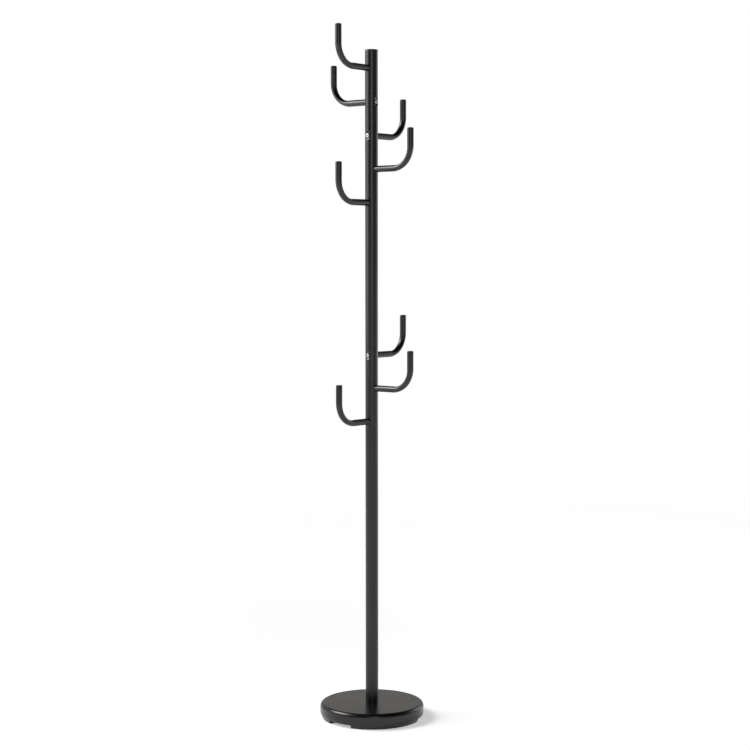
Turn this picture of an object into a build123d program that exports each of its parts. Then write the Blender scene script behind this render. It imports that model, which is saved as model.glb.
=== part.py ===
"""Standing coat rack: weighted round base, two-piece post and eight bolted J hooks.

Frame: origin at the centre of the underside, +Z up, hooks along +X, -X, +Y and -Y.
Every separate piece is written to parts/NODE.step, in millimetres.
"""
from build123d import *
import math
import os

os.makedirs("parts", exist_ok=True)

# ---------------------------------------------------------------- driving dimensions (mm, degrees)
# base
base_d = 262.0              # widest diameter of the cover
base_h = 38.5               # floor to top face
base_edge_r = 9.5           # rounding of the top edge
base_draw_in = 5.5          # how far the lower wall is drawn in at the bottom
base_draw_h = 20.0          # height at which the lower wall starts to draw in
base_wall = 3.0             # shell thickness
notch_h = 8.2               # floor to skirt edge in the three notches
notch_angle = 31.0          # arc of one notch
notch_first = 30.0          # azimuth of the first notch centre
foot_count = 3
foot_width = 14.0           # radial width of the solid foot ring
pad_t = 1.2                 # non-slip strip thickness
pad_inset = 0.3             # strip set back from the edges of the foot
plate_t = 2.0               # bottom plate
plate_z = 8.6               # underside of the bottom plate
weight_gap = 0.1            # clearance around the filling
pocket_d = 46.0             # bolt pocket in the underside
pocket_top = 20.0           # ceiling of the bolt pocket
plate_gap = 0.05            # clearance of the filling above the plate
pad_trim = 0.3              # arc taken off each strip

# post
post_d = 32.0
post_wall = 1.2
post_top = 1674.6           # top of the cap
seam_z = 1071.0             # joint between the two tubes
edge_break = 0.5            # rounding of the tube ends at the seam
cap_lip = 7.5               # visible height of the top cap
cap_edge_r = 1.8
cap_shank_len, cap_shank_t = 14.0, 2.0
plug_gap = 0.05             # radial clearance of plugs and inserts
plug_back = 0.3             # plug or insert set back from the end of its tube
plug_chamfer = 1.0
joint_back = 0.1            # joint plugs set back from the seam

# base bolt (M10) and joint stud (M10)
bolt_d = 10.0
bolt_head_af = 17.0
bolt_head_h = 6.4
bolt_bevel = 0.2            # round face of the head inside its flats
bolt_hole_d = 11.0
bolt_short = 3.0            # bolt ends below the top of its plug
bolt_chamfer = 1.2
washer_d, washer_t = 40.0, 2.5
spring_d, spring_t = 18.1, 2.2
washer_play = 0.25          # radial clearance of the washers on the bolt
split_w, split_tilt = 0.8, 25.0     # cut through the spring washer
stud_len = 18.0
plug_len = 20.0
thread_gap = 0.1            # radial clearance of a plain shank in its hole

# hooks
hook_d = 16.0
hook_wall = 1.2
hook_reach = 124.0          # post axis to the axis of the upright
hook_bend_r = 52.0          # bend radius of the tube axis
hook_tip_h = 97.4           # arm axis to the very tip
hook_pitch = 82.8           # height step from hook to hook
hook_turn = -90.0           # turn from one hook down to the next
upper_group = (1629.0, -90.0, 5)    # arm height, azimuth of the first hook, number of hooks
lower_group = (918.2, 90.0, 3)
bend_flat = (1.0, 0.90, 0.845, 0.90, 1.0)    # in-plane size of the section along the bend
bend_wide = (1.0, 1.02, 1.035, 1.02, 1.0)    # matching size across the bend
bend_steps = (0.0, 0.18, 0.5, 0.82, 1.0)
cope_gap = 0.05             # clearance of the coped end on the post
tip_lip = 4.5               # visible height of the end plug
tip_edge_r = 3.0
tip_plug_len = 10.0

# hook fasteners (M6 low cylindrical head, hexagon socket) and their pressed seats in the post
screw_d = 6.0
screw_head_d = 10.0
screw_head_h = 3.6
screw_edge_r = 0.9          # rounding of the head
screw_len = 45.0            # under the head
screw_chamfer = 0.8
socket_af = 4.0
socket_depth = 2.0
seat_depth = 2.9            # floor of the seat below the outer wall of the post
seat_floor_r = 5.8          # flat floor of the seat
seat_rim_r = 11.0           # height reached by the slope above and below the screw
seat_wall = 1.1             # thickness of the pressed metal
screw_hole_d = 6.6
insert_len = 20.0

# everywhere
touch = 0.02                # gap between faces that bear on each other
over = 2.0                  # how far cutting tools and hidden overlaps run past a face

# ---------------------------------------------------------------- derived sizes
base_r = base_d / 2
foot_r = base_r - base_draw_in              # outer radius at the very bottom
cutter_r = base_r + 20                      # cutting tools that reach past the cover
bolt_hole_r = bolt_hole_d / 2
post_r = post_d / 2
post_ir = post_r - post_wall
hook_r = hook_d / 2
hook_ir = hook_r - hook_wall
seat_back = -post_r - over                  # outer end of the tools that shape a seat
seat_slope = seat_depth / (seat_rim_r - seat_floor_r)           # fall of the seat towards its floor
seat_skin = seat_wall * math.hypot(1, seat_slope)               # pressed metal along the screw axis
notch_centres = [notch_first + i * 360 / foot_count for i in range(foot_count)]
foot_centres = [a + 180 / foot_count for a in notch_centres]
foot_angle = 360 / foot_count - notch_angle
draw_h = base_draw_h - pad_t
draw_r = (draw_h ** 2 + base_draw_in ** 2) / (2 * base_draw_in)     # radius of the drawn-in wall

hooks = []                                  # (number, arm height, azimuth)
for start_z, start_az, count in (upper_group, lower_group):
    for step in range(count):
        hooks.append((len(hooks) + 1, start_z - step * hook_pitch, (start_az + step * hook_turn) % 360))


def save(shape, node):
    """Write one piece under its node name."""
    shape.label = node
    export_step(shape, f"parts/{node}.step")


on_end = (Align.CENTER, Align.CENTER, Align.MIN)


def disc(radius, z0, z1):
    """Upright cylinder between two heights."""
    return Pos(0, 0, z0) * Cylinder(radius, z1 - z0, align=on_end)


def ring(r_out, r_in, z0, z1):
    return disc(r_out, z0, z1) - disc(r_in, z0 - over, z1 + over)


def bar_x(radius, x0, x1):
    """Cylinder lying along +X between two stations."""
    return Pos(x0, 0, 0) * Rot(0, 90, 0) * Cylinder(radius, x1 - x0, align=on_end)


def cone_x(r0, r1, x0, x1):
    return Pos(x0, 0, 0) * Rot(0, 90, 0) * Cone(r0, r1, x1 - x0, align=on_end)


def sector(radius, centre, angle, z0, z1):
    """Pie slice around the Z axis, for cutting notches and feet."""
    half = math.radians(angle / 2)
    rise = radius * math.tan(half)
    face = make_face(Polyline((0, 0), (radius, rise), (radius, -rise), close=True))
    return Pos(0, 0, z0) * Rot(0, 0, centre) * extrude(face, z1 - z0)


def cover_outline(offset):
    """Closed half section of the cover body, moved in by the given wall thickness."""
    r_top, z_top, edge = base_r - offset, base_h - offset, base_edge_r - offset
    wall_arc = RadiusArc((foot_r - offset, pad_t), (r_top, base_draw_h), draw_r)
    rise = Line((r_top, base_draw_h), (r_top, z_top - edge))
    corner = RadiusArc((r_top, z_top - edge), (r_top - edge, z_top), -edge)
    lid = Line((r_top - edge, z_top), (0, z_top))
    axis = Line((0, z_top), (0, pad_t))
    floor = Line((0, pad_t), (foot_r - offset, pad_t))
    return make_face(Wire([wall_arc, rise, corner, lid, axis, floor]))


def revolved(face):
    return revolve(Plane.XZ * face, axis=Axis.Z, revolution_arc=360)


# ---------------------------------------------------------------- base
outer = revolved(cover_outline(0.0))
inner = revolved(cover_outline(base_wall))
cover = outer - inner
feet = (outer & ring(cutter_r, foot_r - foot_width, 0, notch_h)) + cover
for centre in notch_centres:
    feet -= sector(cutter_r, centre, notch_angle, -over, notch_h)
cover = feet - disc(bolt_hole_r, pocket_top, base_h + over)
save(cover, "base_cover")

pocket = disc(pocket_d / 2, 0, pocket_top)
body = revolved(cover_outline(base_wall + weight_gap))
filling = body & disc(base_r, plate_z + plate_t + plate_gap, base_h)
filling = filling - pocket - disc(bolt_hole_r, 0, base_h)
save(filling, "base_weight")

plate = body & disc(base_r, plate_z, plate_z + plate_t)
save(plate - pocket, "base_plate")

for number, centre in enumerate(foot_centres, 1):
    strip = ring(foot_r - pad_inset, foot_r - foot_width + pad_inset, 0, pad_t)
    strip &= sector(cutter_r, centre, foot_angle - pad_trim, -over, notch_h)
    save(strip, f"foot_pad_{number}")

# ---------------------------------------------------------------- base bolt and washers
washer_top = pocket_top - touch
washer_z = washer_top - washer_t
save(ring(washer_d / 2, bolt_d / 2 + washer_play, washer_z, washer_top), "base_washer")
spring_z = washer_z - touch - spring_t
spring = ring(spring_d / 2, bolt_d / 2 + washer_play, spring_z, spring_z + spring_t)
split = Pos(spring_d / 2 - 2, 0, spring_z + spring_t / 2) * Rot(split_tilt, 0, 0) * Box(8, split_w, 6)
save(spring - split, "base_spring_washer")

head_top = spring_z - touch
head_face_r = bolt_head_af / 2 - bolt_bevel                 # round face left by the 45 degree bevel
head = extrude(RegularPolygon(bolt_head_af / 2, 6, major_radius=False), bolt_head_h)
head &= Cone(head_face_r, head_face_r + bolt_d, bolt_d, align=on_end)
bolt = Pos(0, 0, head_top - bolt_head_h) * head
bolt += disc(bolt_d / 2, head_top - over, base_h + plug_len - bolt_short)
bolt = chamfer(bolt.edges().sort_by(Axis.Z)[-1], bolt_chamfer)
save(bolt, "base_bolt")

# ---------------------------------------------------------------- post
plug_r = post_ir - plug_gap
foot_plug = disc(plug_r, base_h + plug_back, base_h + plug_len)
foot_plug = chamfer(foot_plug.edges().sort_by(Axis.Z)[-1], plug_chamfer)
foot_plug -= disc(bolt_d / 2 + thread_gap, base_h, base_h + plug_len + over)
save(foot_plug, "post_foot_plug")

lower = ring(post_r, post_ir, base_h + touch, seam_z - touch)
upper = ring(post_r, post_ir, seam_z + touch, post_top - cap_lip)


def screw_seat(height, azimuth):
    """Pieces that turn a plain tube wall into a hook seat: pressed dish to add, holes to cut."""
    place = Pos(0, 0, height) * Rot(0, 0, azimuth)
    floor_x = -post_r + seat_depth
    back_r = seat_floor_r + (seat_skin - seat_wall) / seat_slope        # floor radius on the hidden side
    cut = cone_x(seat_rim_r + over / seat_slope, seat_floor_r, seat_back, floor_x)
    back_x = floor_x + seat_wall
    add = cone_x(back_r + (back_x - seat_back) / seat_slope, back_r, seat_back, back_x)
    add &= disc(post_r, -post_r, post_r)
    bore = bar_x(screw_hole_d / 2, seat_back, post_r + over)
    return place * add, place * cut, place * bore


def seated(tube, low, high):
    """Tube with the seats of every hook between two heights."""
    for _, height, azimuth in hooks:
        if low < height < high:
            add, cut, bore = screw_seat(height, azimuth)
            tube = tube + add - cut - bore
    return tube


def seam_rim(tube):
    """Outer edge of a tube end at the seam."""
    circles = tube.edges().filter_by(GeomType.CIRCLE)
    return [e for e in circles if abs(e.radius - post_r) < touch and abs(e.center().Z - seam_z) < edge_break]


lower = seated(lower, base_h, seam_z)
upper = seated(upper, seam_z, post_top)
lower = fillet(seam_rim(lower), edge_break)
upper = fillet(seam_rim(upper), edge_break)
save(lower, "lower_tube")
save(upper, "upper_tube")

stud = disc(plug_r, seam_z - plug_len, seam_z - joint_back)
stud += disc(bolt_d / 2, seam_z - over, seam_z + stud_len)
stud = chamfer(stud.edges().sort_by(Axis.Z)[-1], bolt_chamfer)
save(stud, "joint_stud")
socket = ring(plug_r, bolt_d / 2 + thread_gap, seam_z + joint_back, seam_z + plug_len)
save(socket, "joint_socket")

cap = disc(post_r, post_top - cap_lip + touch, post_top)
cap = fillet(cap.edges().sort_by(Axis.Z)[-1], cap_edge_r)
cap += ring(plug_r, plug_r - cap_shank_t, post_top - cap_lip - cap_shank_len, post_top - cap_lip + over)
save(cap, "top_cap")

# ---------------------------------------------------------------- one hook, along +X, arm axis at z = 0
bend_x = hook_reach - hook_bend_r
tube_top = hook_tip_h - tip_lip
bend_path = CenterArc((bend_x, hook_bend_r), hook_bend_r, -90, 90)
bend_path = Plane.XZ * bend_path


def bend_solid(radius):
    """Bend of the tube, a little flattened in the plane of the bend as bent tube is."""
    shrink = hook_r - radius
    sections = []
    for at, flat, wide in zip(bend_steps, bend_flat, bend_wide):
        section = bend_path.location_at(at) * Plane.XY.location
        rise = flat * hook_r - shrink
        across = wide * hook_r - shrink
        frame = Plane(origin=bend_path @ at, x_dir=(0, 1, 0), z_dir=bend_path % at)
        sections.append(frame * Ellipse(across, rise))
    return sweep(sections, path=bend_path, multisection=True)


def hook_rod(radius):
    arm = bar_x(radius, 0, bend_x)
    upright = Pos(hook_reach, 0, 0) * disc(radius, hook_bend_r, tube_top)
    return arm + bend_solid(radius) + upright


tube = hook_rod(hook_r) - hook_rod(hook_ir)
tube -= disc(post_r + cope_gap, -post_r, post_r)

tip = Pos(hook_reach, 0, 0) * disc(hook_r, tube_top + touch, hook_tip_h)
tip = fillet(tip.edges().sort_by(Axis.Z)[-1], tip_edge_r)
tip += Pos(hook_reach, 0, 0) * disc(hook_ir - plug_gap, tube_top - tip_plug_len, tube_top + over)

insert = bar_x(hook_ir - plug_gap, post_r + plug_back, post_r + insert_len)
insert -= bar_x(screw_d / 2 + thread_gap, 0, post_r + insert_len + over)

head_x = -post_r + seat_depth - touch                       # underside of the head
screw = bar_x(screw_head_d / 2, head_x - screw_head_h, head_x)
screw = fillet(screw.edges().sort_by(Axis.X)[0], screw_edge_r)
screw += bar_x(screw_d / 2, head_x - over, head_x + screw_len)
hexagon = Rot(0, 90, 0) * extrude(RegularPolygon(socket_af / 2, 6, major_radius=False), socket_depth + over)
screw -= Pos(head_x - screw_head_h - over, 0, 0) * hexagon
screw = chamfer(screw.edges().sort_by(Axis.X)[-1], screw_chamfer)

for number, height, azimuth in hooks:
    place = Pos(0, 0, height) * Rot(0, 0, azimuth)
    for name, piece in (("hook", tube), ("hook_tip", tip), ("hook_insert", insert), ("hook_screw", screw)):
        save(place * piece, f"{name}_{number}")
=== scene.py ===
"""Standing coat rack: detailed meshes, materials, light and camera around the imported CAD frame."""

import math

import bmesh
import bpy
from mathutils import Matrix, Vector

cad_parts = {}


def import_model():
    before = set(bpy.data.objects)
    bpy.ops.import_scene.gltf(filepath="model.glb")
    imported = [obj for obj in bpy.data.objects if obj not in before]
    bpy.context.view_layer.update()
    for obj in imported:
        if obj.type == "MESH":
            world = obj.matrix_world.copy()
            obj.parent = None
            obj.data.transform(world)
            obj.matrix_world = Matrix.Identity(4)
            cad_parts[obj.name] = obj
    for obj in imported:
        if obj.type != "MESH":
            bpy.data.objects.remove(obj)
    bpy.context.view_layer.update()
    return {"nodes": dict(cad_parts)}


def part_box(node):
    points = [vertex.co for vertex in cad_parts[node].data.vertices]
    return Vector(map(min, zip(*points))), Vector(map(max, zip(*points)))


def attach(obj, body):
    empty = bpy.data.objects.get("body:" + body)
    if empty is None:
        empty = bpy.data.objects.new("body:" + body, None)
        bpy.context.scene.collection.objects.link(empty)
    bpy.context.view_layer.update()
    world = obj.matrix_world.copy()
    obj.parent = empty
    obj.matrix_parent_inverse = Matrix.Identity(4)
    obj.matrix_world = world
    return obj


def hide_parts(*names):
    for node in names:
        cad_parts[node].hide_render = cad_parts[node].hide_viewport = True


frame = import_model()
MM = 0.001
TAU = 2 * math.pi
WELD = 1e-7                                         # points closer than this are one point

# ---------------------------------------------------------------- sizes (metres, degrees) of the CAD part
POST_R, POST_WALL = 16 * MM, 1.2 * MM
POST_EDGE = 0.5 * MM                                # rounding of the tube ends at the seam
CAP_LIP, CAP_EDGE, CAP_SHANK_T = 7.5 * MM, 1.8 * MM, 2 * MM     # visible height, rounding, wall of the shank
HOOK_COUNT = 8
HOOK_R, HOOK_WALL = 8 * MM, 1.2 * MM
REACH, BEND_R = 124 * MM, 52 * MM                   # post axis to upright, bend radius of the tube axis
FLAT, WIDE, FLAT_POWER = 0.155, 0.035, 3.0          # flattening in the bend, widening across it, its onset
TIP_LIP, TIP_EDGE = 4.5 * MM, 3 * MM                # visible height and rounding of an end plug
SCREW_R, SCREW_HOLE_R = 3 * MM, 3.3 * MM
HEAD_R, HEAD_H, HEAD_EDGE = 5 * MM, 3.6 * MM, 0.9 * MM          # screw head: radius, height, rounding
SOCKET_R, SOCKET_DEPTH = 2 * MM, 2 * MM             # hexagon socket, radius to its flats
SEAT_DEPTH, SEAT_FLOOR, SEAT_RIM, SEAT_WALL = 2.9 * MM, 5.8 * MM, 11 * MM, 1.1 * MM     # floor, rim: radii
SEAT_SLOPE = SEAT_DEPTH / (SEAT_RIM - SEAT_FLOOR)
PLUG_GAP = 0.05 * MM                                # radial clearance of plugs and of coped ends
TOUCH = 0.02 * MM                                   # gap between faces that bear on each other
BASE_R, BASE_H, BASE_EDGE = 131 * MM, 38.5 * MM, 9.5 * MM
SHELL = 3 * MM                                      # wall thickness of the cover
DRAW_IN, DRAW_H = 5.5 * MM, 20 * MM                 # the wall draws in by this much, from this height down
NOTCH_H, NOTCH_ANGLE, NOTCHES = 8.2 * MM, 31.0, (30.0, 150.0, 270.0)
FOOT_W, PAD_T = 14 * MM, 1.2 * MM                   # width of a solid foot, thickness of its strip
BOLT_HOLE_R = 5.5 * MM
DRAW_R = ((DRAW_H - PAD_T) ** 2 + DRAW_IN ** 2) / (2 * DRAW_IN)        # radius of the drawn-in wall


# ---------------------------------------------------------------- mesh helpers
def finish_mesh(bm, name, material, sharp=38.0):
    """Turns a bmesh into an object with smooth faces and sharp edges where the surface turns hard."""
    bmesh.ops.remove_doubles(bm, verts=bm.verts, dist=WELD)
    bmesh.ops.recalc_face_normals(bm, faces=bm.faces)
    for face in bm.faces:
        face.smooth = True
    for edge in bm.edges:
        if len(edge.link_faces) == 2 and edge.calc_face_angle(0.0) > math.radians(sharp):
            edge.smooth = False
    mesh = bpy.data.meshes.new(name)
    bm.to_mesh(mesh)
    bm.free()
    obj = bpy.data.objects.new(name, mesh)
    bpy.context.scene.collection.objects.link(obj)
    mesh.materials.append(material)
    return obj


def circle(bm, radius, height, count, centre=(0.0, 0.0)):
    """Level ring of vertices."""
    x, y = centre
    ring = []
    for i in range(count):
        a = TAU * i / count
        ring.append(bm.verts.new((x + radius * math.cos(a), y + radius * math.sin(a), height)))
    return ring


def join_rings(bm, rings):
    """Faces between each ring of vertices and the next; at a pole they are triangles."""
    for low, high in zip(rings, rings[1:]):
        for i in range(len(low)):
            j = (i + 1) % len(low)
            corners = [low[i], low[j], high[j], high[i]]
            bm.faces.new([v for k, v in enumerate(corners) if v is not corners[k - 1]])


def arc(cx, cz, radius, start, end, steps):
    """Points of a circular arc, angles in degrees."""
    points = []
    for i in range(steps + 1):
        a = math.radians(start + (end - start) * i / steps)
        points.append((cx + radius * math.cos(a), cz + radius * math.sin(a)))
    return points


def lathe(name, profile, material, segments, centre=(0.0, 0.0)):
    """Solid of revolution about an upright axis; profile points are (radius, height), from pole to pole."""
    bm = bmesh.new()
    rings = []
    for radius, height in profile:
        if radius < WELD:
            rings.append([bm.verts.new((*centre, height))] * segments)
        else:
            rings.append(circle(bm, radius, height, segments, centre))
    join_rings(bm, rings)
    return finish_mesh(bm, name, material)


def stand_at(bm, height, azimuth):
    """Moves a piece that was modelled along +X to its place on the post."""
    place = Matrix.Translation((0, 0, height)) @ Matrix.Rotation(math.radians(azimuth), 4, "Z")
    bmesh.ops.transform(bm, matrix=place, verts=bm.verts)


def claim(obj, slot, *nodes):
    """The object rides on the root body and stands for these CAD nodes."""
    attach(obj, "root")
    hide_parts(*nodes)


# ---------------------------------------------------------------- shader helpers
def grey(level):
    return (level, level, level)


def new_material(name):
    """Empty material: its nodes, its links, the shader and the object coordinates."""
    material = bpy.data.materials.new(name)
    material.use_nodes = True
    nodes, links = material.node_tree.nodes, material.node_tree.links
    nodes.clear()
    output = nodes.new("ShaderNodeOutputMaterial")
    shader = nodes.new("ShaderNodeBsdfPrincipled")
    links.new(shader.outputs["BSDF"], output.inputs["Surface"])
    coords = nodes.new("ShaderNodeTexCoord")
    return material, nodes, links, shader, coords.outputs["Object"]


def noise(nodes, links, coords, scale, detail=2.0, roughness=0.5):
    texture = nodes.new("ShaderNodeTexNoise")
    texture.inputs["Scale"].default_value = scale
    texture.inputs["Detail"].default_value = detail
    texture.inputs["Roughness"].default_value = roughness
    links.new(coords, texture.inputs["Vector"])
    return texture.outputs["Fac"]


def ramp(nodes, links, factor, stops):
    """Colour ramp; stops are (position, colour)."""
    node = nodes.new("ShaderNodeValToRGB")
    elements = node.color_ramp.elements
    while len(elements) < len(stops):
        elements.new(0.5)
    for element, (position, colour) in zip(elements, stops):
        element.position = position
        element.color = (*colour, 1.0)
    links.new(factor, node.inputs["Fac"])
    return node.outputs["Color"]


def span(nodes, links, factor, low, high, start=0.3, end=0.7):
    """Maps start..end of the factor to low..high; a noise mostly lies in the default span."""
    node = nodes.new("ShaderNodeMapRange")
    node.inputs["From Min"].default_value = start
    node.inputs["From Max"].default_value = end
    node.inputs["To Min"].default_value = low
    node.inputs["To Max"].default_value = high
    links.new(factor, node.inputs["Value"])
    return node.outputs["Result"]


def bump(nodes, links, height, strength, distance, under=None):
    """Bump on the plain surface, or on top of another bump."""
    node = nodes.new("ShaderNodeBump")
    node.inputs["Strength"].default_value = strength
    node.inputs["Distance"].default_value = distance
    links.new(height, node.inputs["Height"])
    if under is not None:
        links.new(under, node.inputs["Normal"])
    return node.outputs["Normal"]


# ---------------------------------------------------------------- materials
GRAIN_SCALE, GRAIN_DEPTH = 4.5, 0.4                 # fine grain of a coating, relative to its orange peel
CLOUD_SCALE = 0.15                                  # clouds of a metal, relative to its grain


def coating(name, dark, light, rough, peel_scale, peel_depth, grain, ior=1.5):
    """Powder coat or moulded plastic: cloudy colour and gloss, orange peel and a finer grain on it."""
    material, nodes, links, shader, coords = new_material(name)
    cloud = noise(nodes, links, coords, scale=18.0, detail=3.0)
    links.new(ramp(nodes, links, cloud, [(0.35, dark), (0.65, light)]), shader.inputs["Base Color"])
    broad = noise(nodes, links, coords, scale=7.0, detail=4.0, roughness=0.6)
    links.new(span(nodes, links, broad, *rough), shader.inputs["Roughness"])
    peel = noise(nodes, links, coords, peel_scale, detail=1.5, roughness=0.45)
    normal = bump(nodes, links, peel, strength=0.5, distance=peel_depth)
    fine = noise(nodes, links, coords, peel_scale * GRAIN_SCALE, detail=2.0, roughness=0.6)
    normal = bump(nodes, links, fine, strength=grain, distance=peel_depth * GRAIN_DEPTH, under=normal)
    links.new(normal, shader.inputs["Normal"])
    shader.inputs["IOR"].default_value = ior
    return material


def metal(name, dark, light, rough, scale):
    """Zinc-plated or bright steel with a fine grain and a cloudy plate."""
    material, nodes, links, shader, coords = new_material(name)
    shader.inputs["Metallic"].default_value = 1.0
    cloud = noise(nodes, links, coords, scale * CLOUD_SCALE, detail=4.0, roughness=0.6)
    links.new(ramp(nodes, links, cloud, [(0.3, dark), (0.7, light)]), shader.inputs["Base Color"])
    grain = noise(nodes, links, coords, scale, detail=3.0, roughness=0.6)
    links.new(span(nodes, links, grain, *rough), shader.inputs["Roughness"])
    links.new(bump(nodes, links, grain, strength=0.4, distance=0.02 * MM), shader.inputs["Normal"])
    return material


def mortar(name):
    """Cast filling: grey cement with sand grains and pores."""
    material, nodes, links, shader, coords = new_material(name)
    grains = noise(nodes, links, coords, scale=420.0, detail=6.0, roughness=0.7)
    sand = [(0.3, (0.22, 0.21, 0.2)), (0.5, (0.42, 0.41, 0.39)), (0.7, (0.56, 0.54, 0.5))]
    links.new(ramp(nodes, links, grains, sand), shader.inputs["Base Color"])
    shader.inputs["Roughness"].default_value = 0.95
    pores = noise(nodes, links, coords, scale=160.0, detail=3.0, roughness=0.6)
    links.new(bump(nodes, links, pores, strength=0.8, distance=0.6 * MM), shader.inputs["Normal"])
    return material


def foam(name):
    """Closed-cell non-slip strip."""
    material, nodes, links, shader, coords = new_material(name)
    cells = nodes.new("ShaderNodeTexVoronoi")
    cells.inputs["Scale"].default_value = 900.0
    links.new(coords, cells.inputs["Vector"])
    distance = cells.outputs["Distance"]
    skin = ramp(nodes, links, distance, [(0.0, grey(0.016)), (0.7, grey(0.03))])
    links.new(skin, shader.inputs["Base Color"])
    shader.inputs["Roughness"].default_value = 0.9
    links.new(bump(nodes, links, distance, strength=0.6, distance=0.2 * MM), shader.inputs["Normal"])
    return material


coat = coating(
    "coat_black", grey(0.0025), grey(0.004), rough=(0.26, 0.31),
    peel_scale=620.0, peel_depth=0.05 * MM, grain=0.25)
cover_mat = coating(
    "base_black", (0.003, 0.0028, 0.0026), (0.0045, 0.0043, 0.004), rough=(0.24, 0.29),
    peel_scale=900.0, peel_depth=0.04 * MM, grain=0.3)
cap_mat = coating(
    "plug_black", grey(0.0045), grey(0.006), rough=(0.32, 0.38),
    peel_scale=1100.0, peel_depth=0.03 * MM, grain=0.3)
under_mat = coating(
    "underside_black", grey(0.006), grey(0.009), rough=(0.6, 0.7),
    peel_scale=700.0, peel_depth=0.08 * MM, grain=0.4, ior=1.3)
zinc = metal(
    "zinc_plate", (0.50, 0.50, 0.48), (0.62, 0.62, 0.60), rough=(0.28, 0.42), scale=900.0)
bright = metal(
    "screw_bright", (0.38, 0.38, 0.37), (0.45, 0.45, 0.44), rough=(0.18, 0.28), scale=1200.0)
filling = mortar("mortar")
strip = foam("non_slip")


# ---------------------------------------------------------------- base cover
COVER_COLUMNS = 360                                 # half a degree off the axes, where the notches end
WALL_STEPS = 8                                      # rows of the drawn-in wall above the notches
FOOT_ROWS = (6.4 * MM, 4.6 * MM, 2.9 * MM)          # rows of the drawn-in wall on the feet
LID_RINGS = (20 * MM, 70 * MM)                      # rings on the flat of the lid
LID_HOLD, SIDE_HOLD, DRAW_HOLD = 0.6 * MM, 0.5 * MM, 0.4 * MM   # rings that keep the flats beside arcs flat
COVER_BEVEL, BEVEL_FROM = 0.6 * MM, 50.0            # width of the broken edges, least angle of an edge


def wall_r(z, inset):
    """Radius of the side of the cover at a height, moved in by the inset."""
    if z >= DRAW_H:
        return BASE_R - inset
    return BASE_R - DRAW_R + math.sqrt(DRAW_R ** 2 - (DRAW_H - z) ** 2) - inset


def cover_side(inset):
    """Half profile from the bolt hole over the top edge down to the notch height."""
    edge, top = BASE_EDGE - inset, BASE_H - inset
    corner_r = BASE_R - inset - edge
    line = [(r, top) for r in (BOLT_HOLE_R, *LID_RINGS, corner_r - LID_HOLD)]
    line += arc(corner_r, top - edge, edge, 90, 0, 14)
    line += [(BASE_R - inset, z) for z in (BASE_H - BASE_EDGE - SIDE_HOLD, DRAW_H + DRAW_HOLD)]
    for i in range(WALL_STEPS + 1):
        z = DRAW_H - (DRAW_H - NOTCH_H) * i / WALL_STEPS
        line.append((wall_r(z, inset), z))
    return line


def foot_profile():
    """Half profile of a foot: down its outer wall, along its sole and up to the shell."""
    inner_r = BASE_R - DRAW_IN - FOOT_W
    line = [(wall_r(z, 0.0), z) for z in FOOT_ROWS]
    return line + [(BASE_R - DRAW_IN, PAD_T), (inner_r, PAD_T), (inner_r, NOTCH_H)]


def in_notch(i):
    """Is the span from column i to the next one in a notch?"""
    middle = (i + 1) * 360 / COVER_COLUMNS
    return any(abs((middle - centre + 180) % 360 - 180) < NOTCH_ANGLE / 2 for centre in NOTCHES)


def cover_column(bm, line, i):
    """One upright line of vertices."""
    a = TAU * (i + 0.5) / COVER_COLUMNS
    return [bm.verts.new((r * math.cos(a), r * math.sin(a), z)) for r, z in line]


def cover_face(bm, corners, hidden):
    """Face in the satin skin, or in the dull as-moulded finish where the stand hides it."""
    bm.faces.new(corners).material_index = 1 if hidden else 0


def cover_foot(bm, outs, ins, feet, i, j):
    """Part of a foot between two columns, closed off where a notch begins."""
    left = [outs[i][-1]] + feet[i] + [ins[i][-1]]
    right = [outs[j][-1]] + feet[j] + [ins[j][-1]]
    for k in range(len(left) - 1):
        cover_face(bm, (left[k], left[k + 1], right[k + 1], right[k]), k > len(FOOT_ROWS))
    for side, beyond in ((left, i - 1), (right, j)):
        if in_notch(beyond % COVER_COLUMNS):
            cover_face(bm, side, True)


def base_cover():
    """Shell with rounded top edge, drawn-in lower wall, three notches and solid feet between them."""
    bm = bmesh.new()
    outside, inside, foot = cover_side(0.0), cover_side(SHELL), foot_profile()
    columns = range(COVER_COLUMNS)
    outs = [cover_column(bm, outside, i) for i in columns]
    ins = [cover_column(bm, inside, i) for i in columns]
    feet = [None if in_notch(i) and in_notch(i - 1) else cover_column(bm, foot, i) for i in columns]
    for i in columns:
        j = (i + 1) % COVER_COLUMNS
        for line, hidden in ((outs, False), (ins, True)):
            for k in range(len(line[i]) - 1):
                cover_face(bm, (line[i][k], line[i][k + 1], line[j][k + 1], line[j][k]), hidden)
        cover_face(bm, (outs[i][0], outs[j][0], ins[j][0], ins[i][0]), True)
        if in_notch(i):
            cover_face(bm, (outs[i][-1], outs[j][-1], ins[j][-1], ins[i][-1]), True)
        else:
            cover_foot(bm, outs, ins, feet, i, j)
    obj = finish_mesh(bm, "base_cover_detail", cover_mat)
    obj.data.materials.append(under_mat)
    bevel = obj.modifiers.new("edges", "BEVEL")
    bevel.width, bevel.segments = COVER_BEVEL, 2
    bevel.limit_method, bevel.angle_limit = "ANGLE", math.radians(BEVEL_FROM)
    claim(obj, "cover", "base_cover")


# ---------------------------------------------------------------- hooks found in the frame
def find_hooks():
    """Number, arm height and azimuth of each hook, read from its box in the frame."""
    found = []
    for number in range(1, HOOK_COUNT + 1):
        low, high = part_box(f"hook_{number}")
        centre = (Vector(low) + Vector(high)) / 2
        azimuth = round(math.degrees(math.atan2(centre.y, centre.x)) / 90) * 90.0
        found.append((number, low[2] + HOOK_R, azimuth))
    return found


hooks = find_hooks()

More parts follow.
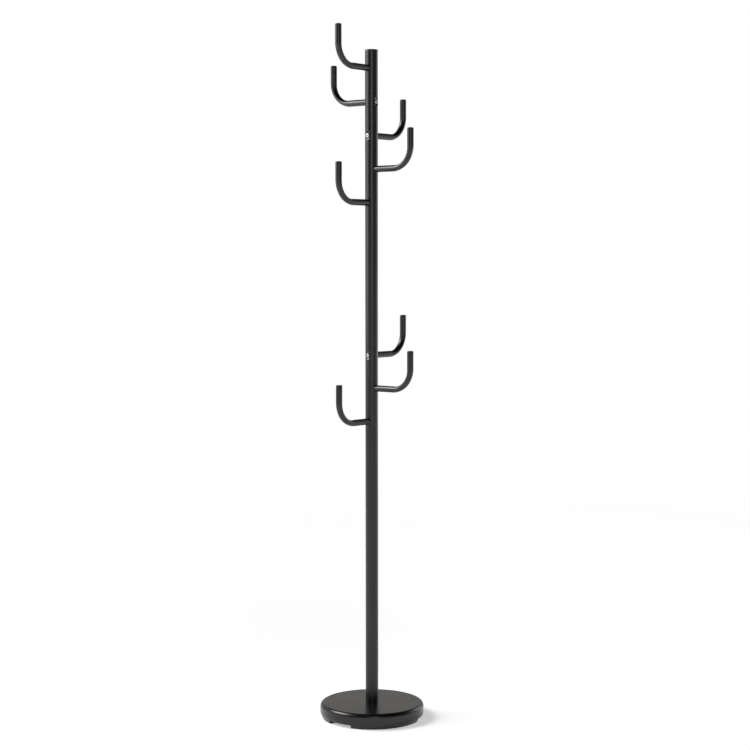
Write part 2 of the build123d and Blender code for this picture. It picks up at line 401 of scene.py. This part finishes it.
# ---------------------------------------------------------------- post tubes
POST_COLUMNS = 96
PATCH_COLS, PATCH_ROWS, PATCH_H = 11, 12, 14 * MM   # half of the patch round a screw: columns, rows, height
END_ROW = 2 * MM                                    # row of vertices near each end
PLUG_HOLD = 0.4 * MM                                # ring beside the rounded edge of a cap or end plug
FLOOR_BLEND, RIM_BLEND = 0.7 * MM, 0.8 * MM         # softness of a seat at its floor and at its rim
RIM_LIMIT, HALVINGS = 13 * MM, 30                   # search for the rim: greatest radius, number of halvings
# places of the rings round a screw, as shares of the way from the inner line to the outer one
BORDER_SHARES = (0.62, 0.40, 0.25, 0.14, 0.06, 0.0)             # rim of the seat to border of the patch
SLOPE_SHARES = (0.93, 0.85, 0.74, 0.6, 0.45, 0.3, 0.18, 0.08, 0.0)     # floor of the seat to its rim
BORE_SHARES = (0.6, 0.3)                                        # bore to border of the patch
FLOOR_RINGS = (5.5 * MM, 5.1 * MM, 4.6 * MM)                    # radii of the rings on the floor of a seat


def smooth_min(a, b, k):
    """The lesser value, blended where the two are closer than k."""
    h = max(0.0, min(1.0, 0.5 + 0.5 * (b - a) / k))
    return b + (a - b) * h - k * h * (1 - h)


def dish(rho, depth):
    """Distance of a seat from the post axis, and that of its slope alone.

    The depth is 0 for the outer face of the metal and its thickness for the inner one.
    """
    flat = POST_R - SEAT_DEPTH - depth
    slope = POST_R - SEAT_DEPTH - depth * math.hypot(1, SEAT_SLOPE) + (rho - SEAT_FLOOR) * SEAT_SLOPE
    return -smooth_min(-flat, -slope, FLOOR_BLEND), slope


def rim_distance(direction, radius, depth):
    """Distance from the screw axis at which the slope of a seat meets the wall."""
    near, far = SEAT_FLOOR, RIM_LIMIT
    for _ in range(HALVINGS):
        rho = (near + far) / 2
        across = rho * math.cos(direction)
        if dish(rho, depth)[1] < math.sqrt(radius ** 2 - across * across):
            near = rho
        else:
            far = rho
    return near


def post_holes(z0, z1):
    """Seats and bores of the hook screws between two heights: (height, column of the axis, kind)."""
    holes = []
    for _, z, azimuth in hooks:
        if z0 < z < z1:
            for turn, kind in ((180, "seat"), (0, "bore")):
                holes.append((z, round((azimuth + turn) % 360 / 360 * POST_COLUMNS), kind))
    return holes


def post_rows(holes, z0, z1, rounded_low, rounded_high):
    """Heights of the rows of vertices of a tube, fine across the patches."""
    rows = [z0 + END_ROW, z1 - END_ROW]
    for z in {z for z, _, _ in holes}:
        rows += [z + PATCH_H * (k / PATCH_ROWS) for k in range(-PATCH_ROWS, PATCH_ROWS + 1)]
    rows.sort()
    if rounded_low:
        rows.insert(0, z0 + POST_EDGE)
    if rounded_high:
        rows.append(z1 - POST_EDGE)
    return rows


def patch_loop(first_row, cols):
    """Border of a patch, once round, as (row, column)."""
    last_row = first_row + 2 * PATCH_ROWS
    loop = [(first_row, c) for c in cols]
    loop += [(r, cols[-1]) for r in range(first_row + 1, last_row + 1)]
    loop += [(last_row, c) for c in reversed(cols[:-1])]
    loop += [(r, cols[0]) for r in range(last_row - 1, first_row, -1)]
    return loop


def hole_rings(bm, border, hole, radius, depth):
    """Rings of vertices from the border of a patch to the bore of its screw."""
    z, column, kind = hole
    angle = TAU * column / POST_COLUMNS
    axis = Vector((math.cos(angle), math.sin(angle), 0))
    side = Vector((-math.sin(angle), math.cos(angle), 0))
    seen = [(vert.co.dot(side), vert.co.z - z) for vert in border]      # the border, seen along the screw
    directions = [math.atan2(v, t) for t, v in seen]
    border_r = [math.hypot(t, v) for t, v in seen]

    def place(direction, rho):
        """Vertex on the wall, or on the seat where that lies deeper."""
        t, v = rho * math.cos(direction), rho * math.sin(direction)
        n = math.sqrt(max(radius ** 2 - t * t, 0.0))
        if kind == "seat":
            n = smooth_min(n, dish(rho, depth)[0], RIM_BLEND)
        co = axis * n + side * t
        return bm.verts.new((co.x, co.y, z + v))

    def between(inner, outer, share):
        """Ring that lies a share of the way from an inner line to an outer one."""
        return [place(d, a + (b - a) * share) for d, a, b in zip(directions, inner, outer)]

    def level(rho):
        return [place(d, rho) for d in directions]

    rings = [border]
    if kind == "seat":
        rim = [rim_distance(d, radius, depth) for d in directions]
        floor_r = [SEAT_FLOOR] * len(rim)
        rings += [between(rim, border_r, share) for share in BORDER_SHARES]
        rings += [between(floor_r, rim, share) for share in SLOPE_SHARES]
        rings += [level(rho) for rho in FLOOR_RINGS]
    else:
        bore_r = [SCREW_HOLE_R] * len(border_r)
        rings += [between(bore_r, border_r, share) for share in BORE_SHARES]
    rings.append(level(SCREW_HOLE_R))
    return rings


def post_skin(bm, radius, depth, rows, holes):
    """Outer or inner face of the tube wall: returns its two end rows and the rims of its holes."""
    grid = [circle(bm, radius, z, POST_COLUMNS) for z in rows]
    skipped, loops = set(), []
    for z, column, _ in holes:
        first_row = rows.index(z - PATCH_H)
        cols = [(column + k) % POST_COLUMNS for k in range(-PATCH_COLS, PATCH_COLS + 1)]
        skipped |= {(r, c) for r in range(first_row, first_row + 2 * PATCH_ROWS) for c in cols[:-1]}
        loops.append(patch_loop(first_row, cols))
    for r in range(len(rows) - 1):
        for c in range(POST_COLUMNS):
            if (r, c) not in skipped:
                d = (c + 1) % POST_COLUMNS
                bm.faces.new((grid[r][c], grid[r][d], grid[r + 1][d], grid[r + 1][c]))
    rims = []
    for hole, loop in zip(holes, loops):
        rings = hole_rings(bm, [grid[r][c] for r, c in loop], hole, radius, depth)
        join_rings(bm, rings)
        rims.append(rings[-1])
    return grid[0], grid[-1], rims


def post_end(bm, row_out, row_in, z_end, rounded, sign):
    """End of a tube, its outer edge rounded at the seam; the sign is 1 at the top and -1 below."""
    rings = [row_out]
    if rounded:
        for a in (30, 60, 90):
            r = POST_R - POST_EDGE * (1 - math.cos(math.radians(a)))
            z = z_end - sign * POST_EDGE * (1 - math.sin(math.radians(a)))
            rings.append(circle(bm, r, z, POST_COLUMNS))
    else:
        rings.append(circle(bm, POST_R, z_end, POST_COLUMNS))
    rings.append(circle(bm, POST_R - POST_WALL, z_end, POST_COLUMNS))
    join_rings(bm, rings + [row_in])


def post_tube(name, node, rounded_low, rounded_high):
    """Tube with a pressed seat and a bore for each hook screw."""
    low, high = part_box(node)
    z0, z1 = low[2], high[2]
    holes = post_holes(z0, z1)
    rows = post_rows(holes, z0, z1, rounded_low, rounded_high)
    bm = bmesh.new()
    low_out, high_out, rims_out = post_skin(bm, POST_R, 0.0, rows, holes)
    low_in, high_in, rims_in = post_skin(bm, POST_R - POST_WALL, SEAT_WALL, rows, holes)
    for rim_out, rim_in in zip(rims_out, rims_in):
        join_rings(bm, [rim_out, rim_in])
    post_end(bm, low_out, low_in, z0, rounded_low, -1)
    post_end(bm, high_out, high_in, z1, rounded_high, 1)
    claim(finish_mesh(bm, name, coat), "coat", node)


def top_cap():
    """Moulded cap: hollow shank with a broad lip."""
    low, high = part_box("top_cap")
    top, seat, shank = high[2], high[2] - CAP_LIP + TOUCH, POST_R - POST_WALL - PLUG_GAP
    lead, lip_break, lid_ring = 0.6 * MM, 0.25 * MM, 0.4 * POST_R
    profile = [(0.0, seat), (shank - CAP_SHANK_T, seat), (shank - CAP_SHANK_T, low[2])]
    profile += [(shank - lead, low[2]), (shank, low[2] + lead), (shank, seat)]
    profile += [(POST_R - lip_break, seat), (POST_R, seat + lip_break)]
    profile += arc(POST_R - CAP_EDGE, top - CAP_EDGE, CAP_EDGE, 0, 90, 8)
    profile += [(POST_R - CAP_EDGE - PLUG_HOLD, top), (lid_ring, top), (0.0, top)]
    claim(lathe("post_cap", profile, cap_mat, segments=96), "cap", "top_cap")


# ---------------------------------------------------------------- one hook, its end plug and its screw
HOOK_SEGMENTS, BEND_STEPS = 40, 32
ARM_RINGS = (20 * MM, 26 * MM, 36 * MM, 50 * MM, 62 * MM, 70 * MM)      # from the post axis
UPRIGHT_RINGS = (55 * MM, 70 * MM)                  # above the arm
MOUTH_RINGS = (3 * MM, 0.3 * MM, 0.0)               # below the open end of the tube
MOUTH_BREAK = 0.25 * MM                             # broken edge at the open end


def hook_path(top):
    """Stations of the tube: (x, z, angle of the tangent, size in the plane of the bend, size across)."""
    path = [(x, 0.0, 0.0, 1.0, 1.0) for x in ARM_RINGS]
    for i in range(BEND_STEPS + 1):
        u = i / BEND_STEPS
        a = u * math.pi / 2
        ease = 1 - abs(2 * u - 1) ** FLAT_POWER
        x, z = REACH - BEND_R + BEND_R * math.sin(a), BEND_R * (1 - math.cos(a))
        path.append((x, z, a, 1 - FLAT * ease, 1 + WIDE * ease))
    for z in UPRIGHT_RINGS + tuple(top - below for below in MOUTH_RINGS):
        path.append((REACH, z, math.pi / 2, 1.0, 1.0))
    return path


def coped_ring(bm, radius):
    """Inner end of the arm, cut to the round of the post."""
    ring = []
    for k in range(HOOK_SEGMENTS):
        a = TAU * k / HOOK_SEGMENTS
        y, z = radius * math.cos(a), radius * math.sin(a)
        ring.append(bm.verts.new((math.sqrt((POST_R + PLUG_GAP) ** 2 - y * y), y, z)))
    return ring


def hook_skin(bm, path, radius, mouth_break):
    """Outer or inner face of the tube wall along its path: returns its first and last ring."""
    rings = [coped_ring(bm, radius)]
    cuts = [0.0] * (len(path) - 1) + [mouth_break]
    for (x, z, a, flat, wide), cut in zip(path, cuts):
        inward = radius - HOOK_R * (1 - flat) - cut
        across = radius + HOOK_R * (wide - 1) - cut
        ring = []
        for k in range(HOOK_SEGMENTS):
            b = TAU * k / HOOK_SEGMENTS
            y, n = across * math.cos(b), inward * math.sin(b)
            ring.append(bm.verts.new((x - n * math.sin(a), y, z + n * math.cos(a))))
        rings.append(ring)
    join_rings(bm, rings)
    return rings[0], rings[-1]


def hook_tube(number, height, azimuth):
    """Bent tube, coped on the post, flattened a little in its bend."""
    bm = bmesh.new()
    path = hook_path(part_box(f"hook_{number}")[1][2] - height)
    first_out, last_out = hook_skin(bm, path, HOOK_R, MOUTH_BREAK)
    first_in, last_in = hook_skin(bm, path, HOOK_R - HOOK_WALL, 0.0)
    join_rings(bm, [first_out, first_in])
    join_rings(bm, [last_out, last_in])
    stand_at(bm, height, azimuth)
    claim(finish_mesh(bm, f"hook_{number}_tube", coat), "coat", f"hook_{number}")


def hook_tip(number, azimuth):
    """Domed end plug with its shank inside the tube."""
    low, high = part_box(f"hook_tip_{number}")
    axis = (REACH * math.cos(math.radians(azimuth)), REACH * math.sin(math.radians(azimuth)))
    top, seat, shank = high[2], high[2] - TIP_LIP + TOUCH, HOOK_R - HOOK_WALL - PLUG_GAP
    lead, lip_break = 0.8 * MM, 0.3 * MM
    profile = [(0.0, low[2]), (shank - lead, low[2]), (shank, low[2] + lead), (shank, seat)]
    profile += [(HOOK_R - lip_break, seat), (HOOK_R, seat + lip_break)]
    profile += arc(HOOK_R - TIP_EDGE, top - TIP_EDGE, TIP_EDGE, 0, 90, 8)
    profile += [(HOOK_R - TIP_EDGE - PLUG_HOLD, top), (0.0, top)]
    plug = lathe(f"hook_{number}_plug", profile, cap_mat, segments=48, centre=axis)
    claim(plug, "cap", f"hook_tip_{number}")


SCREW_SEGMENTS = 60
DRILL_R, DRILL_POINT_R, DRILL_H = 1.7 * MM, 0.3 * MM, 0.5 * MM  # drill point under the socket
SOCKET_BREAK, HEAD_BREAK = 0.25 * MM, 0.2 * MM      # broken edges of the socket and of the head
THREAD_FROM, THREAD_END = 24 * MM, 1.2 * MM         # first turn from the head, last turn from the tip
THREAD_PITCH, ROOT_AT, CREST_AT = 1.0 * MM, 0.5, 0.93           # root and crest within one turn
THREAD_ROOT, THREAD_CREST = 0.42 * MM, 0.02 * MM    # depths below the shank
SCREW_TIP = ((0.45 * MM, 0.2 * MM), (0.7 * MM, 0.0))            # (below the shank, back from the tip)


def screw_ring(bm, radius, x, hexagonal=False):
    """Ring of vertices round the X axis; the radius of a hexagonal one is to its flats."""
    ring = []
    for k in range(SCREW_SEGMENTS):
        a = TAU * k / SCREW_SEGMENTS
        r = radius / math.cos((a + math.pi / 6) % (math.pi / 3) - math.pi / 6) if hexagonal else radius
        ring.append(bm.verts.new((x, r * math.cos(a), r * math.sin(a))))
    return ring


def screw_head(bm, face, seat):
    """Rings from the bottom of the socket over the head to the shank."""
    floor_x, edge_r = face + SOCKET_DEPTH, HEAD_R - HEAD_EDGE
    drill = [(DRILL_POINT_R, floor_x + DRILL_H), (DRILL_R, floor_x)]
    socket = [(SOCKET_R, floor_x), (SOCKET_R, face + HEAD_BREAK), (SOCKET_R + SOCKET_BREAK, face)]
    skin = [(edge_r - HEAD_BREAK, face)]
    skin += [(r, face + x) for r, x in arc(edge_r, HEAD_EDGE, HEAD_EDGE, -90, 0, 7)]
    skin += [(HEAD_R, seat - HEAD_BREAK), (HEAD_R - HEAD_BREAK, seat), (SCREW_R, seat)]
    rings = [screw_ring(bm, r, x) for r, x in drill]
    rings += [screw_ring(bm, r, x, hexagonal=True) for r, x in socket]
    return rings + [screw_ring(bm, r, x) for r, x in skin]


def screw_thread(bm, start, end):
    """Rings of the threaded end, a root and a crest for each turn."""
    rings = [screw_ring(bm, SCREW_R, start)]
    x = start
    while x < end - THREAD_END:
        rings.append(screw_ring(bm, SCREW_R - THREAD_ROOT, x + ROOT_AT * THREAD_PITCH))
        rings.append(screw_ring(bm, SCREW_R - THREAD_CREST, x + CREST_AT * THREAD_PITCH))
        x += THREAD_PITCH
    return rings + [screw_ring(bm, SCREW_R - below, end - back) for below, back in SCREW_TIP]


def hook_screw(number, height, azimuth):
    """Low-head screw with a hexagon socket; the head looks away from the hook."""
    low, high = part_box(f"hook_screw_{number}")
    length = max(high[0] - low[0], high[1] - low[1])
    seat = -POST_R + SEAT_DEPTH - TOUCH             # underside of the head
    face = seat - HEAD_H
    bm = bmesh.new()
    rings = screw_head(bm, face, seat) + screw_thread(bm, seat + THREAD_FROM, face + length)
    join_rings(bm, rings)
    for cap in (rings[0], rings[-1]):
        bm.faces.new(cap)
    stand_at(bm, height, azimuth)
    claim(finish_mesh(bm, f"hook_{number}_bolt", bright, sharp=30.0), "screw", f"hook_screw_{number}")


# ---------------------------------------------------------------- carried-over CAD pieces
def colour_cad_pieces():
    """Materials for the pieces that the CAD frame itself shows."""
    materials = {"base_weight": filling, "base_plate": under_mat}
    for node, obj in frame["nodes"].items():
        if node.startswith(("base_", "foot_", "joint_", "post_foot", "hook_insert")):
            material = strip if node.startswith("foot_pad") else materials.get(node, zinc)
            obj.data.materials.clear()
            obj.data.materials.append(material)


# ---------------------------------------------------------------- floor, surround, light and camera
VIEW_AZIMUTH = -49.85                               # direction from the post to the camera, from +X
CAMERA_D, CAMERA_H = 4.285, 1.1638                  # distance from the post axis, height
CAMERA_PITCH, CAMERA_YAW, CAMERA_ROLL = 3.945, 0.110, 0.044
CAMERA_LENS, SENSOR = 82.32, 36.0                   # millimetres
FLOOR_R = 40.0
GLOW_CENTRE = Vector((-0.9, 0.7, 0.0))              # left of the post and behind it, seen from the camera
FLOOR_GLOW = [                                      # (metres from the centre of the glow, strength)
    (0.0, 0.18), (1.1, 0.40), (1.35, 0.475), (1.8, 0.54),
    (3.0, 0.70), (4.5, 0.85), (6.5, 0.90), (10.0, 0.92)]
WARM_WHITE = (1.03, 1.0, 0.96)
WORLD_ROUND = [                                     # (0 on the camera's side, 1 behind the stand, colour)
    (0.0, grey(0.09)), (0.44, grey(0.09)), (0.55, grey(0.56)), (1.0, grey(0.51))]
WORLD_UP = [                                        # (0 straight down, 1 straight up, colour)
    (0.5, grey(0.8)), (0.56, grey(0.85)), (0.62, WARM_WHITE), (0.72, WARM_WHITE),
    (0.80, grey(0.1)), (1.0, grey(0.02))]


def view_turn():
    """Turns the camera-relative frame, in which the camera stands at -Y, to the stand's own."""
    return Matrix.Rotation(math.radians(VIEW_AZIMUTH + 90), 3, "Z")


def floor():
    """Pale floor that glows more and more away from the key light, so that it runs out into white."""
    bm = bmesh.new()
    bmesh.ops.create_circle(bm, cap_ends=True, segments=96, radius=FLOOR_R)
    material, nodes, links, shader, coords = new_material("floor_white")
    paper = noise(nodes, links, coords, scale=3.0, detail=2.0)
    links.new(ramp(nodes, links, paper, [(0.3, grey(0.86)), (0.7, grey(0.87))]), shader.inputs["Base Color"])
    shader.inputs["Roughness"].default_value = 1.0
    shader.inputs["Specular IOR Level"].default_value = 0.0
    shader.inputs["Emission Color"].default_value = (1.0, 1.0, 1.0, 1.0)
    length = nodes.new("ShaderNodeVectorMath")
    length.operation = "DISTANCE"
    length.inputs[1].default_value = view_turn() @ GLOW_CENTRE
    links.new(coords, length.inputs[0])
    reach = FLOOR_GLOW[-1][0]
    share = span(nodes, links, length.outputs["Value"], low=0.0, high=1.0, start=0.0, end=reach)
    glow = ramp(nodes, links, share, [(r / reach, grey(strength)) for r, strength in FLOOR_GLOW])
    links.new(glow, shader.inputs["Emission Strength"])
    obj = finish_mesh(bm, "floor", material)


def background(nodes):
    node = nodes.new("ShaderNodeBackground")
    node.inputs["Strength"].default_value = 1.0
    return node


def studio_colour(nodes, links):
    """Colour of the surround by direction: grey backdrop behind, dim room in front and above."""
    coords = nodes.new("ShaderNodeTexCoord")
    turn = nodes.new("ShaderNodeVectorRotate")
    turn.rotation_type = "Z_AXIS"
    turn.inputs["Angle"].default_value = -math.radians(VIEW_AZIMUTH + 90)   # the camera's side becomes -Y
    links.new(coords.outputs["Generated"], turn.inputs["Vector"])
    split = nodes.new("ShaderNodeSeparateXYZ")
    links.new(turn.outputs["Vector"], split.inputs["Vector"])
    blend = nodes.new("ShaderNodeMix")
    blend.data_type, blend.blend_type = "RGBA", "MULTIPLY"
    blend.inputs["Factor"].default_value = 1.0
    for axis, stops, socket in (("Y", WORLD_ROUND, "A"), ("Z", WORLD_UP, "B")):
        share = span(nodes, links, split.outputs[axis], low=0.0, high=1.0, start=-1.0, end=1.0)
        links.new(ramp(nodes, links, share, stops), blend.inputs[socket])
    return blend.outputs["Result"]


def world():
    """Studio surround that lights the stand; the picture's own background is plain white."""
    sky = bpy.data.worlds.new("studio")
    bpy.context.scene.world = sky
    sky.use_nodes = True
    nodes, links = sky.node_tree.nodes, sky.node_tree.links
    nodes.clear()
    output = nodes.new("ShaderNodeOutputWorld")
    studio, plain = background(nodes), background(nodes)
    links.new(studio_colour(nodes, links), studio.inputs["Color"])
    plain.inputs["Color"].default_value = (1.0, 1.0, 1.0, 1.0)
    mix = nodes.new("ShaderNodeMixShader")
    path = nodes.new("ShaderNodeLightPath")
    links.new(path.outputs["Is Camera Ray"], mix.inputs["Fac"])
    links.new(studio.outputs["Background"], mix.inputs[1])
    links.new(plain.outputs["Background"], mix.inputs[2])
    links.new(mix.outputs["Shader"], output.inputs["Surface"])


def area_light(name, place, aim, size, radiance):
    """Soft box; place is (to the right, away from the camera, up) and aim a height on the post."""
    data = bpy.data.lights.new(name, "AREA")
    data.shape, data.size, data.size_y = "RECTANGLE", *size
    data.energy = radiance * math.pi * size[0] * size[1]
    obj = bpy.data.objects.new(name, data)
    obj.location = view_turn() @ Vector(place)
    obj.rotation_euler = (Vector((0, 0, aim)) - obj.location).to_track_quat("-Z", "Y").to_euler()
    bpy.context.scene.collection.objects.link(obj)
    obj.visible_camera = False


def camera():
    """Camera at chest height, looking a little down."""
    data = bpy.data.cameras.new("camera")
    data.sensor_width, data.lens = SENSOR, CAMERA_LENS
    data.clip_end = 1.5 * FLOOR_R
    obj = bpy.data.objects.new("camera", data)
    a = math.radians(VIEW_AZIMUTH)
    obj.location = (CAMERA_D * math.cos(a), CAMERA_D * math.sin(a), CAMERA_H)
    heading = a + math.pi - math.radians(CAMERA_YAW)
    pitch = math.radians(CAMERA_PITCH)
    level = math.cos(pitch)
    look = Vector((math.cos(heading) * level, math.sin(heading) * level, -math.sin(pitch)))
    turn = look.to_track_quat("-Z", "Y").to_matrix() @ Matrix.Rotation(-math.radians(CAMERA_ROLL), 3, "Z")
    obj.rotation_euler = turn.to_euler()
    bpy.context.scene.collection.objects.link(obj)
    bpy.context.scene.camera = obj


# ---------------------------------------------------------------- the scene
base_cover()
post_tube("lower_post", "lower_tube", rounded_low=False, rounded_high=True)
post_tube("upper_post", "upper_tube", rounded_low=True, rounded_high=False)
top_cap()
for number, height, azimuth in hooks:
    hook_tube(number, height, azimuth)
    hook_tip(number, azimuth)
    hook_screw(number, height, azimuth)
colour_cad_pieces()

floor()
world()
area_light("key", (-2.85, 0.45, 3.1), aim=1.0, size=(2.4, 1.6), radiance=10.0)
area_light("wall", (-2.3, -0.2, 1.7), aim=1.5, size=(1.9, 1.7), radiance=2.2)
area_light("side", (2.5, 1.8, 1.3), aim=1.2, size=(1.8, 1.9), radiance=1.4)
area_light("fill", (0.4, -4.6, 2.0), aim=1.2, size=(1.3, 2.0), radiance=3.0)
camera()
bpy.context.scene.view_settings.view_transform = "Standard"
